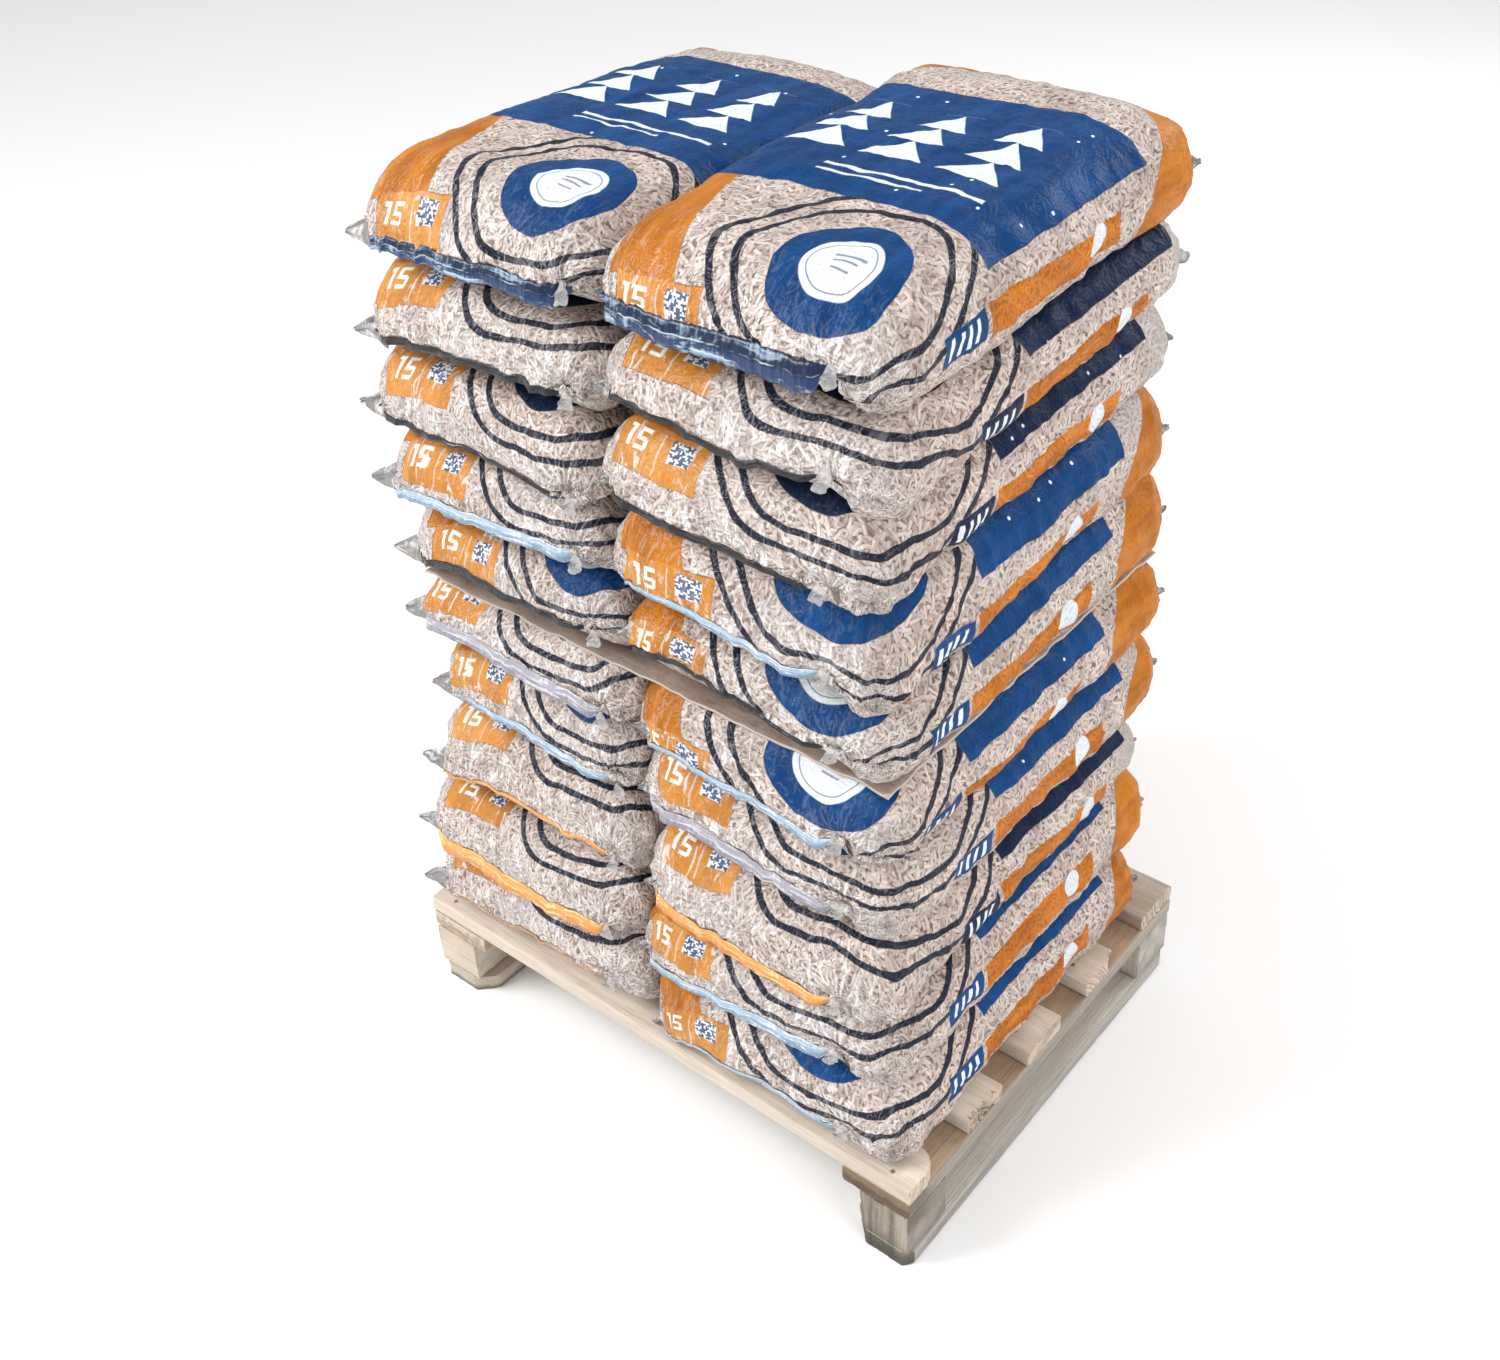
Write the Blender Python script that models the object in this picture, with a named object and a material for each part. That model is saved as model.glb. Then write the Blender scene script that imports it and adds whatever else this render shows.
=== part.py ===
"""Half-size wooden pallet with twenty film sacks of wood fuel, ten layers of two.

Metres, +Z up. The origin is at the middle of the pallet's footprint, on the floor.
+X runs along the deck boards, and the sacks lie with their long side along Y.
"""

from math import cos, pi, sin

import bpy

# Pallet
PALLET_LENGTH = 0.800
PALLET_DEPTH = 0.615
BOARD_THICKNESS = 0.025
BLOCK_HEIGHT = 0.069
BLOCK_LENGTH_X = 0.075
BLOCK_LENGTH_Y = 0.078
STRINGER_WIDTH = 0.098
BOTTOM_BOARD_WIDTH = 0.088
BOARD_EDGE_CHAMFER = 0.0015
# Corners sawn off the bottom boards, towards the fork gap and on the outside
INNER_CORNER_CUT = 0.024
OUTER_CORNER_CUT = 0.010
# Middle of each deck board along Y, and its width
DECK_BOARDS = (
    (-0.276, 0.063),
    (-0.148, 0.072),
    (-0.016, 0.078),
    (0.121, 0.074),
    (0.268, 0.079),
)

# Clearance left between pieces that rest on each other
SEAT_GAP = 0.0003

# Cardboard sheet between the fifth and the sixth layer
SHEET_LOW = (-0.347, -0.262)
SHEET_HIGH = (0.339, 0.283)
SHEET_THICKNESS = 0.003

# Sacks: how the filled film rounds off
SIDE_ROUND = 0.042
END_ROUND = 0.050
CORNER_RADIUS = 0.032
CONTACT_CORNER_RADIUS = 0.048
WIDEST_LEVEL = 0.44
RISE_STEPS = 6
CORNER_STEPS = 4
CROWN_HEIGHT = 0.012
CROWN_INSET = 0.065

# A sack's top slopes a little from front to back, and its height is given at these places
NEAR_STATION = -0.280
FAR_STATION = 0.280

# Layers from the deck up: outer left side, the line between the two sacks, outer right
# side, near end and far end, then each sack's top at the near and at the far station.
LAYERS = (
    {"x": (-0.399, -0.006, 0.382), "y": (-0.307, 0.262), "left": (0.262, 0.246), "right": (0.266, 0.249)},
    {"x": (-0.389, -0.015, 0.372), "y": (-0.307, 0.287), "left": (0.364, 0.364), "right": (0.359, 0.364)},
    {"x": (-0.363, -0.002, 0.360), "y": (-0.300, 0.274), "left": (0.490, 0.478), "right": (0.472, 0.452)},
    {"x": (-0.338, -0.006, 0.360), "y": (-0.288, 0.306), "left": (0.600, 0.592), "right": (0.586, 0.574)},
    {"x": (-0.358, -0.005, 0.361), "y": (-0.291, 0.302), "left": (0.679, 0.679), "right": (0.679, 0.679)},
    {"x": (-0.354, -0.016, 0.354), "y": (-0.286, 0.301), "left": (0.788, 0.798), "right": (0.778, 0.804)},
    {"x": (-0.366, -0.016, 0.353), "y": (-0.294, 0.282), "left": (0.888, 0.897), "right": (0.908, 0.920)},
    {"x": (-0.371, -0.018, 0.350), "y": (-0.292, 0.282), "left": (0.982, 0.998), "right": (1.001, 1.028)},
    {"x": (-0.358, -0.010, 0.356), "y": (-0.288, 0.276), "left": (1.088, 1.103), "right": (1.098, 1.122)},
    {"x": (-0.347, -0.005, 0.354), "y": (-0.284, 0.290), "left": (1.214, 1.190), "right": (1.222, 1.234)},
)
SHEET_ABOVE_LAYER = 5

# Heights that follow from the pallet's timber
BLOCK_BOTTOM = BOARD_THICKNESS
STRINGER_BOTTOM = BLOCK_BOTTOM + BLOCK_HEIGHT
DECK_BOTTOM = STRINGER_BOTTOM + BOARD_THICKNESS
DECK_TOP = DECK_BOTTOM + BOARD_THICKNESS


def clear_scene():
    for obj in list(bpy.data.objects):
        bpy.data.objects.remove(obj, do_unlink=True)


def make_material(name, colour, roughness):
    material = bpy.data.materials.new(name)
    material.use_nodes = True
    shader = material.node_tree.nodes["Principled BSDF"]
    shader.inputs["Base Color"].default_value = (*colour, 1.0)
    shader.inputs["Roughness"].default_value = roughness
    shader.inputs["Metallic"].default_value = 0.0
    material.diffuse_color = (*colour, 1.0)
    return material


def add_object(name, vertices, faces, material):
    mesh = bpy.data.meshes.new(name)
    mesh.from_pydata(vertices, [], faces)
    mesh.validate()
    mesh.update()
    mesh.materials.append(material)
    obj = bpy.data.objects.new(name, mesh)
    bpy.context.scene.collection.objects.link(obj)
    return obj


def add_block(name, low, high, material):
    """A sawn piece of timber or board between two opposite corners, its edges eased."""
    middle = [(a + b) / 2 for a, b in zip(low, high)]
    half = [(b - a) / 2 for a, b in zip(low, high)]
    vertices = [(sx * half[0], sy * half[1], sz * half[2])
                for sz in (-1, 1) for sy in (-1, 1) for sx in (-1, 1)]
    faces = [(0, 2, 3, 1), (4, 5, 7, 6), (0, 1, 5, 4), (2, 6, 7, 3), (0, 4, 6, 2), (1, 3, 7, 5)]
    obj = add_object(name, vertices, faces, material)
    obj.location = middle
    return obj


def add_bottom_board(name, direction, material):
    """The board under one side's blocks, its four corners sawn off."""
    outer = direction * PALLET_LENGTH / 2
    inner = outer - direction * BOTTOM_BOARD_WIDTH
    half_depth = PALLET_DEPTH / 2
    outer_cut = direction * OUTER_CORNER_CUT
    inner_cut = direction * INNER_CORNER_CUT
    outline = [
        (outer, -half_depth + OUTER_CORNER_CUT),
        (outer, half_depth - OUTER_CORNER_CUT),
        (outer - outer_cut, half_depth),
        (inner + inner_cut, half_depth),
        (inner, half_depth - INNER_CORNER_CUT),
        (inner, -half_depth + INNER_CORNER_CUT),
        (inner + inner_cut, -half_depth),
        (outer - outer_cut, -half_depth),
    ]
    if direction < 0:
        outline.reverse()
    count = len(outline)
    heights = (0.0, BLOCK_BOTTOM - SEAT_GAP)
    vertices = [(x, y, z) for z in heights for x, y in outline]
    faces = [tuple(reversed(range(count))), tuple(range(count, 2 * count))]
    for index in range(count):
        following = (index + 1) % count
        faces.append((index, following, count + following, count + index))
    return add_object(name, vertices, faces, material)


def ease_edges(obj, width):
    bevel = obj.modifiers.new("eased_edges", "BEVEL")
    bevel.width = width
    bevel.segments = 1
    bevel.limit_method = "ANGLE"
    return obj


def build_pallet(wood, weathered_wood):
    half_length = PALLET_LENGTH / 2
    half_depth = PALLET_DEPTH / 2
    for side, direction in (("left", -1), ("right", 1)):
        outer = direction * half_length
        inner_board = outer - direction * STRINGER_WIDTH
        inner_block = outer - direction * BLOCK_LENGTH_X
        x_board = (min(outer, inner_board), max(outer, inner_board))
        x_block = (min(outer, inner_block), max(outer, inner_block))
        board = add_bottom_board(f"bottom_board_{side}", direction, weathered_wood)
        ease_edges(board, BOARD_EDGE_CHAMFER)
        stringer = add_block(f"stringer_board_{side}",
                             (x_board[0], -half_depth, STRINGER_BOTTOM),
                             (x_board[1], half_depth, DECK_BOTTOM - SEAT_GAP), wood)
        ease_edges(stringer, BOARD_EDGE_CHAMFER)
        for end, y_low in (("near", -half_depth), ("far", half_depth - BLOCK_LENGTH_Y)):
            block = add_block(f"block_{end}_{side}",
                              (x_block[0], y_low, BLOCK_BOTTOM),
                              (x_block[1], y_low + BLOCK_LENGTH_Y, STRINGER_BOTTOM - SEAT_GAP),
                              weathered_wood)
            ease_edges(block, BOARD_EDGE_CHAMFER)
    for number, (middle, width) in enumerate(DECK_BOARDS, start=1):
        board = add_block(f"deck_board_{number}",
                          (-half_length, middle - width / 2, DECK_BOTTOM),
                          (half_length, middle + width / 2, DECK_TOP - SEAT_GAP), wood)
        ease_edges(board, BOARD_EDGE_CHAMFER)


def rounded_outline(x_low, x_high, y_low, y_high, radius):
    """Points of a rounded rectangle, counter-clockwise seen from above."""
    corners = (
        (x_high - radius, y_high - radius, 0.0),
        (x_low + radius, y_high - radius, pi / 2),
        (x_low + radius, y_low + radius, pi),
        (x_high - radius, y_low + radius, 3 * pi / 2),
    )
    points = []
    for centre_x, centre_y, start in corners:
        for step in range(CORNER_STEPS + 1):
            angle = start + (pi / 2) * step / CORNER_STEPS
            points.append((centre_x + radius * cos(angle), centre_y + radius * sin(angle)))
    return points


def add_sack(name, x, y, bottom, top, crown, material):
    """A filled sack. Its two resting faces are flat and follow the sacks below and above.

    bottom and top are heights at the near and at the far station.
    """
    def height(pair, along):
        share = (along - NEAR_STATION) / (FAR_STATION - NEAR_STATION)
        return pair[0] + (pair[1] - pair[0]) * share

    rings = []
    for step in range(RISE_STEPS + 1):
        angle = -pi / 2 + pi * step / RISE_STEPS
        if angle < 0:
            level = WIDEST_LEVEL * (1 + sin(angle))
        else:
            level = WIDEST_LEVEL + (1 - WIDEST_LEVEL) * sin(angle)
        narrow = 1 - cos(angle)
        inset_x = SIDE_ROUND * narrow
        inset_y = END_ROUND * narrow
        radius = CORNER_RADIUS + (CONTACT_CORNER_RADIUS - CORNER_RADIUS) * narrow
        outline = rounded_outline(x[0] + inset_x, x[1] - inset_x, y[0] + inset_y, y[1] - inset_y, radius)
        ring = []
        for px, py in outline:
            low = height(bottom, py)
            high = height(top, py) - crown
            ring.append((px, py, low + (high - low) * level))
        rings.append(ring)
    if crown > 0:
        inset_x = SIDE_ROUND + CROWN_INSET
        inset_y = END_ROUND + CROWN_INSET
        outline = rounded_outline(x[0] + inset_x, x[1] - inset_x, y[0] + inset_y, y[1] - inset_y,
                                  CONTACT_CORNER_RADIUS)
        rings.append([(px, py, height(top, py)) for px, py in outline])

    count = len(rings[0])
    vertices = [point for ring in rings for point in ring]
    faces = [tuple(reversed(range(count)))]
    for lower in range(len(rings) - 1):
        for index in range(count):
            following = (index + 1) % count
            faces.append((lower * count + index, lower * count + following,
                          (lower + 1) * count + following, (lower + 1) * count + index))
    last = (len(rings) - 1) * count
    faces.append(tuple(last + index for index in range(count)))
    obj = add_object(name, vertices, faces, material)
    obj.data.shade_smooth()
    return obj


def build_sheet(cardboard):
    top_below = LAYERS[SHEET_ABOVE_LAYER - 1]["left"][0]
    add_block("slip_sheet", (*SHEET_LOW, top_below),
              (*SHEET_HIGH, top_below + SHEET_THICKNESS), cardboard)


def build_sacks(film):
    below = {"left": (DECK_TOP, DECK_TOP), "right": (DECK_TOP, DECK_TOP)}
    for number, layer in enumerate(LAYERS, start=1):
        x_left, x_middle, x_right = layer["x"]
        widths = {"left": (x_left, x_middle - SEAT_GAP / 2), "right": (x_middle + SEAT_GAP / 2, x_right)}
        crown = CROWN_HEIGHT if number == len(LAYERS) else 0.0
        for side in ("left", "right"):
            top = tuple(height - SEAT_GAP for height in layer[side])
            add_sack(f"sack_{side}_{number:02d}", widths[side], layer["y"], below[side], top, crown, film)
        below = {side: layer[side] for side in ("left", "right")}
        if number == SHEET_ABOVE_LAYER:
            lift = SHEET_THICKNESS + SEAT_GAP
            below = {side: tuple(height + lift for height in heights) for side, heights in below.items()}


def main():
    clear_scene()
    wood = make_material("pallet_wood", (0.66, 0.55, 0.42), 0.80)
    weathered_wood = make_material("weathered_wood", (0.42, 0.38, 0.33), 0.85)
    cardboard = make_material("slip_sheet_cardboard", (0.36, 0.27, 0.20), 0.90)
    film = make_material("sack_film", (0.52, 0.43, 0.36), 0.22)
    build_pallet(wood, weathered_wood)
    build_sheet(cardboard)
    build_sacks(film)


main()
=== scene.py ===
from math import pi, radians

import bpy
import numpy as np
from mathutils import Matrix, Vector


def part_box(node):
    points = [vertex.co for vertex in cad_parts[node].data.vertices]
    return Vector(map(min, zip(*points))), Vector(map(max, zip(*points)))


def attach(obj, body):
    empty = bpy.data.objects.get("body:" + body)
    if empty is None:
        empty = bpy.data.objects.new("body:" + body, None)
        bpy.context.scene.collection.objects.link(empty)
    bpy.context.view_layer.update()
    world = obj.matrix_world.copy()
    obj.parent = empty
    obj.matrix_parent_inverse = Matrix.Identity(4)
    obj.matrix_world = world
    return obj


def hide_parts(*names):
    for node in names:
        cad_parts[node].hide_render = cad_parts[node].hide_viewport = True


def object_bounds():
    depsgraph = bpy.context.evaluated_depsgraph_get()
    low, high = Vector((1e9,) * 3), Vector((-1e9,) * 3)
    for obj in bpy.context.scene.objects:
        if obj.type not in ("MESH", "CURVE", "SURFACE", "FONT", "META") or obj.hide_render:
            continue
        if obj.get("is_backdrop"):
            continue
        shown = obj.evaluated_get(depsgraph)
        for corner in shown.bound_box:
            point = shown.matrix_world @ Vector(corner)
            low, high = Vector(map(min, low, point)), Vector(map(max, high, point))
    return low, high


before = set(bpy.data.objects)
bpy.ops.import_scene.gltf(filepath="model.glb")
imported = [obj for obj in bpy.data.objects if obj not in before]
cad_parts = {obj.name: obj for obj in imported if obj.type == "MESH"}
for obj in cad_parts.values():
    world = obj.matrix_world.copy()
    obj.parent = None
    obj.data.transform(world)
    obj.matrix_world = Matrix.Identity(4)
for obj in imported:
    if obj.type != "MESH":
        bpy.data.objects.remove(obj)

bounds_at_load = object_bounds()
BODY = "root"
LEFT, RIGHT = "left", "right"


def metres(millimetres):
    return tuple(value / 1000 for value in millimetres)


# Layers from the deck up, as in the CAD, in millimetres: x of the left side, of the line between the sacks and of the
# right side, near and far end, then the top of the left and of the right sack, each at the near and the far station
LAYERS = [[metres(part) for part in layer] for layer in (
    ((-399, -6, 382), (-307, 262), (262, 246), (266, 249)),
    ((-389, -15, 372), (-307, 287), (364, 364), (359, 364)),
    ((-363, -2, 360), (-300, 274), (490, 478), (472, 452)),
    ((-338, -6, 360), (-288, 306), (600, 592), (586, 574)),
    ((-358, -5, 361), (-291, 302), (679, 679), (679, 679)),
    ((-354, -16, 354), (-286, 301), (788, 798), (778, 804)),
    ((-366, -16, 353), (-294, 282), (888, 897), (908, 920)),
    ((-371, -18, 350), (-292, 282), (982, 998), (1001, 1028)),
    ((-358, -10, 356), (-288, 276), (1088, 1103), (1098, 1122)),
    ((-347, -5, 354), (-284, 290), (1214, 1190), (1222, 1234)),
)]
STATIONS = (-0.28, 0.28)
COLUMN_GAP = 0.0016
DECK_TOP, OVER_DECK = 0.144, 0.0012
SHEET_AFTER, SHEET_STEP = 5, 0.0033
WALL_SEED = 61
UP = (0, 0, 1)

# What differs from sack to sack, from the deck up: print colours (a bright, b navy), height of the near seam in
# percent of the sack's height at five places across, shift of the print (across, along) in millimetres at its left
# and at its right, and the folded seam (kind, width at its left end, in its middle and at its right end)
LOOKS = {
    LEFT: (
        ("a", (23, 31, 37, 40, 43), (-13, 60), (-13, 66), ("edge", 4, 4, 5)),
        ("a", (17, 27, 22, 25, 28), (-9, 71), (-9, 77), ("orange", 24, 24, 20)),
        ("b", (28, 36, 42, 42, 35), (-9, 69), (-9, 76), ("orange", 3, 6, 7)),
        ("a", (30, 40, 38, 33, 30), (-3, 27), (-3, 34), ("pale", 4, 14, 12)),
        ("a", (40, 60, 50, 41, 25), (-26, 26), (-26, 34), ("grey", 18, 22, 22)),
        ("a", (35, 50, 49, 45, 43), (24, 7), (24, 15), ("dark", 10, 10, 8)),
        ("a", (30, 39, 40, 45, 42), (8, 25), (8, 30), ("pale", 14, 15, 18)),
        ("b", (20, 28, 30, 20, 15), (-3, 47), (-3, 56), ("dark", 8, 6, 5)),
        ("b", (20, 35, 41, 42, 40), (-11, 53), (-11, 62), ("dark", 9, 9, 9)),
        ("a", (28, 36, 47, 47, 45), (6, 8), (2, 15), ("navy", 14, 24, 27)),
    ),
    RIGHT: (
        ("a", (5, 22, 30, 30, 25), (-38, 7), (11, 40), ("pale", 4, 5, 10)),
        ("a", (13, 15, 30, 40, 30), (-43, 33), (4, 41), ("pale", 8, 16, 22)),
        ("b", (27, 18, 18, 18, 5), (-20, 60), (7, 99), ("orange", 18, 19, 16)),
        ("a", (50, 48, 40, 33, 30), (-20, 28), (18, 51), ("grey", 16, 21, 16)),
        ("a", (32, 34, 28, 20, 20), (-36, -14), (20, -9), ("pale", 4, 10, 16)),
        ("a", (57, 65, 58, 45, 40), (-33, -6), (18, -7), ("dark", 8, 6, 6)),
        ("a", (40, 38, 38, 35, 22), (-9, -5), (34, 31), ("pale", 4, 10, 12)),
        ("b", (33, 24, 17, 12, 10), (-23, 50), (15, 60), ("dark", 10, 8, 6)),
        ("b", (46, 45, 39, 41, 36), (-8, 47), (14, 63), ("dark", 6, 8, 8)),
        ("a", (45, 48, 50, 52, 30), (-5, -11), (2, 4), ("navy", 28, 28, 32)),
    ),
}
LEVEL_PLACES = (0.06, 0.25, 0.5, 0.75, 0.94)
PRINT_LEFT, PRINT_RIGHT = -0.105, 0.172
# Where the seam ends in a gathered knot, across from the middle of the sack
KNOT = {LEFT: 0.15, RIGHT: 0.118}
RAGGED_WIDTH = 0.02

# The print, in metres on the film: across from the middle of the top, and along from the near seam. Rectangles are
# given as across from and to, along from and to
PRINT = {
    "panel": ((-0.165, 0.172, 0.212, 0.492),),
    "left strip": ((-0.158, 0, 0.04, 0.213),),
    "block": ((-0.137, -0.03, -0.012, 0.043),),
    "side strip": ((0.2, 0.236, 0.199, 0.435),),
    "side label": ((0.2, 0.234, 0.124, 0.192),),
    "trees": ((-0.14, 0.115, 0.305, 0.44),),
    "bars": ((-0.055, 0.12, 0.262, 0.268), (-0.055, 0.06, 0.248, 0.252)),
    "15": ((-0.1185, -0.114, 0.009, 0.034), (-0.1225, -0.114, 0.0295, 0.034), (-0.108, -0.093, 0.0295, 0.034),
           (-0.108, -0.1037, 0.019, 0.034), (-0.108, -0.095, 0.019, 0.0233), (-0.0968, -0.0925, 0.011, 0.0215),
           (-0.108, -0.0945, 0.009, 0.0133)),
    "mosaic": ((-0.069, -0.043, 0.012, 0.037),),
    "disc bars": ((0.066, 0.1, 0.107, 0.111), (0.07, 0.096, 0.098, 0.101), (0.074, 0.092, 0.088, 0.0905)),
    "stitch": ((-0.0795, -0.078, -0.008, 0.038),),
}
LABEL_BARS = (0.206, 0.228, 0.131, 0.187)
PRINT_BLUR = 0.0008
MOSAIC_PITCH = 460
RINGS_MIDDLE, RINGS = (0.083, 0.1), (0.123, 0.101)
BADGE_MIDDLE, BADGE_DISC = (0.08, 0.097), (0.08, 0.099)
BRIGHT_BLUE, DARK_BLUE, NAVY = (0.0005, 0.038, 0.14), (0.002, 0.01, 0.038), (0.006, 0.008, 0.024)
ORANGE, ORANGE_LIGHT = (0.35, 0.106, 0.003), (0.52, 0.175, 0.01)
PELLET_LAYERS, PELLET_RADIUS = 4, 0.0022
# Timber: how much the grain is drawn out, nail heads (x, y off the board's middle) and the heart of the rings
GRAIN_STRETCH = 0.045
NAIL_PLACES = ((0.366, -0.017), (0.352, 0.018))
RINGS_HEART = (0.02, 0.06)


# --- numbers
def times(colour, factor):
    return tuple(c * factor for c in colour)


def between(pair, share):
    return pair[0] + (pair[1] - pair[0]) * share


def near_edge(distance, reach):
    """1 at an edge, falling to 0 at reach from it."""
    return np.clip(1 - distance / reach, 0, 1)


def smooth(x, low, high):
    t = np.clip((x - low) / (high - low), 0, 1)
    return t * t * (3 - 2 * t)


def noise(x, y, seed):
    """Smooth seeded noise from -1 to 1 over a plane whose cells are one unit wide."""
    table = np.random.default_rng(seed).uniform(-1, 1, (64, 64))
    ix, iy = np.floor(x).astype(int), np.floor(y).astype(int)
    fx, fy = (f * f * f * (f * (f * 6 - 15) + 10) for f in (x - ix, y - iy))
    a, b = table[ix % 64, iy % 64], table[(ix + 1) % 64, iy % 64]
    c, d = table[ix % 64, (iy + 1) % 64], table[(ix + 1) % 64, (iy + 1) % 64]
    return (a + (b - a) * fx) * (1 - fy) + (c + (d - c) * fx) * fy


def ridges(x, y, seed):
    """Creases: 1 along thin crests, falling to 0."""
    return np.clip(1 - np.abs(noise(x, y, seed)) * 2.2, 0, 1) ** 2


# --- meshes
TURNED = [0, 3, 2, 1]


def add_object(name, data):
    obj = bpy.data.objects.new(name, data)
    bpy.context.scene.collection.objects.link(obj)
    return obj


def make_mesh(name, points, faces, layers, material, corners=None):
    """corners: for each face corner, its place in the layers' values where that isn't its point."""
    mesh = bpy.data.meshes.new(name)
    mesh.vertices.add(len(points))
    mesh.vertices.foreach_set("co", np.asarray(points, np.float32).ravel())
    mesh.loops.add(faces.size)
    mesh.loops.foreach_set("vertex_index", faces.ravel().astype(np.int32))
    mesh.polygons.add(len(faces))
    mesh.polygons.foreach_set("loop_start", np.arange(0, faces.size, faces.shape[1], dtype=np.int32))
    mesh.update(calc_edges=True)
    places = (faces if corners is None else corners).ravel()
    for key, values in layers.items():
        mesh.uv_layers.new(name=key).data.foreach_set("uv", np.asarray(values, np.float32)[places].ravel())
    mesh.polygons.foreach_set("use_smooth", np.ones(len(faces), bool))
    mesh.validate()
    mesh.materials.append(material)
    return add_object(name, mesh)


def quads(index):
    """Faces over a grid of point numbers: one for each cell, with its four corners last."""
    return np.stack([index[:-1, :-1], index[:-1, 1:], index[1:, 1:], index[1:, :-1]], -1)


def shell(name, grid, uv, thickness, material):
    """A thin closed sheet, from a grid of points (rows, columns, 3)."""
    normal = np.cross(np.gradient(grid, axis=0), np.gradient(grid, axis=1))
    normal /= np.linalg.norm(normal, axis=2, keepdims=True) + 1e-12
    index = np.arange(grid[..., 0].size).reshape(grid.shape[:2])
    count = index.size
    rim = np.concatenate([index[0, :-1], index[:-1, -1], index[-1, :0:-1], index[:0:-1, 0]])
    following = np.roll(rim, -1)
    faces = np.concatenate([quads(index).reshape(-1, 4)[:, ::-1], quads(index + count).reshape(-1, 4),
                            np.stack([rim, following, following + count, rim + count], -1)])
    points = np.concatenate([(grid + normal * thickness / 2).reshape(-1, 3),
                             (grid - normal * thickness / 2).reshape(-1, 3)])
    return make_mesh(name, points, faces, {"film": np.concatenate([uv.reshape(-1, 2)] * 2)}, material)


# --- sacks
SIDE_ROUND, END_ROUND, TOP_NEAR_ROUND = 0.042, 0.05, 0.085
SIDE_ROUND_STEPS, NEAR_ROUND_STEPS, FAR_ROUND_STEPS = 15, 22, 14
STEP_ACROSS, TOP_STEP_ACROSS, STEP_ALONG_SACK = 0.01, 0.0045, 0.0048
SIDE_LEVEL = 0.44
CORNER_ROUND, RIGHT_CORNER_ROUND = 0.056, 0.058
CORNER_DROP, CORNER_DROP_REACH = 0.3, 0.105
DOME = 0.012
LOWER_POWER = 0.75


class Sack:
    """The room of one sack and what is its own in its looks."""

    def __init__(self, side, number):
        self.side, self.number = side, number
        self.name = f"sack_{side}_{number:02d}"
        self.seed = number * 10 + (5 if side == LEFT else 0)
        self.is_top = number == len(LAYERS)
        self.knot = KNOT[side]
        self.film, levels, left_shift, right_shift, (self.flap, *flap_widths) = LOOKS[side][number - 1]
        self.levels = [level / 100 for level in levels]
        self.shifts = metres(left_shift), metres(right_shift)
        self.flap_widths = metres(flap_widths)
        column = 0 if side == LEFT else 1
        (left, line, right), (self.y0, self.y1), *tops = LAYERS[number - 1]
        self.x0, self.x1 = (left, line - COLUMN_GAP / 2) if side == LEFT else (line + COLUMN_GAP / 2, right)
        self.top = tops[column]
        self.bottom = (DECK_TOP, DECK_TOP) if number == 1 else LAYERS[number - 2][2 + column]
        if number - 1 == SHEET_AFTER:
            self.bottom = tuple(z + SHEET_STEP for z in self.bottom)

    def near_face(self, x, z):
        """y of the near face at these places and heights, as it is before it is wrinkled."""
        level = np.interp((x - self.x0) / (self.x1 - self.x0), LEVEL_PLACES, self.levels)
        middle = between((self.bottom[0], self.top[0]), level)
        cosine = np.clip((z - middle) / (self.top[0] - middle), 0, 1)
        reach = np.where(z >= middle, np.sqrt(1 - cosine ** 2), 1)
        return self.y0 + END_ROUND * (1 - reach)


def round_plan(X, Y, half_x, half_y, radius):
    """Draws the corners of a plan in to an arc."""
    p, q = near_edge(half_x - np.abs(X), radius), near_edge(half_y - np.abs(Y), radius)
    back_x = radius * p * (1 - np.sqrt(1 - q * q / 2))
    back_y = radius * q * (1 - np.sqrt(1 - p * p / 2))
    return X - np.sign(X) * back_x, Y - np.sign(Y) * back_y


def stations(half, low_round, low_steps, high_round, high_steps, step):
    """Places from -half to half: finely over both rounded rims, by step between. Gives the place and the angle of the
    rim there, 0 on the flat part and pi/2 at the very edge."""
    low_angle = np.linspace(pi / 2, 0, low_steps + 1)
    high_angle = np.linspace(0, pi / 2, high_steps + 1)
    inner = np.linspace(-half + low_round, half - high_round, max(2, round((2 * half - low_round - high_round) / step)))
    place = np.concatenate([-half + low_round - low_round * np.sin(low_angle), inner[1:-1],
                            half - high_round + high_round * np.sin(high_angle)])
    return place, np.concatenate([low_angle, np.zeros(len(inner) - 2), high_angle])


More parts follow.
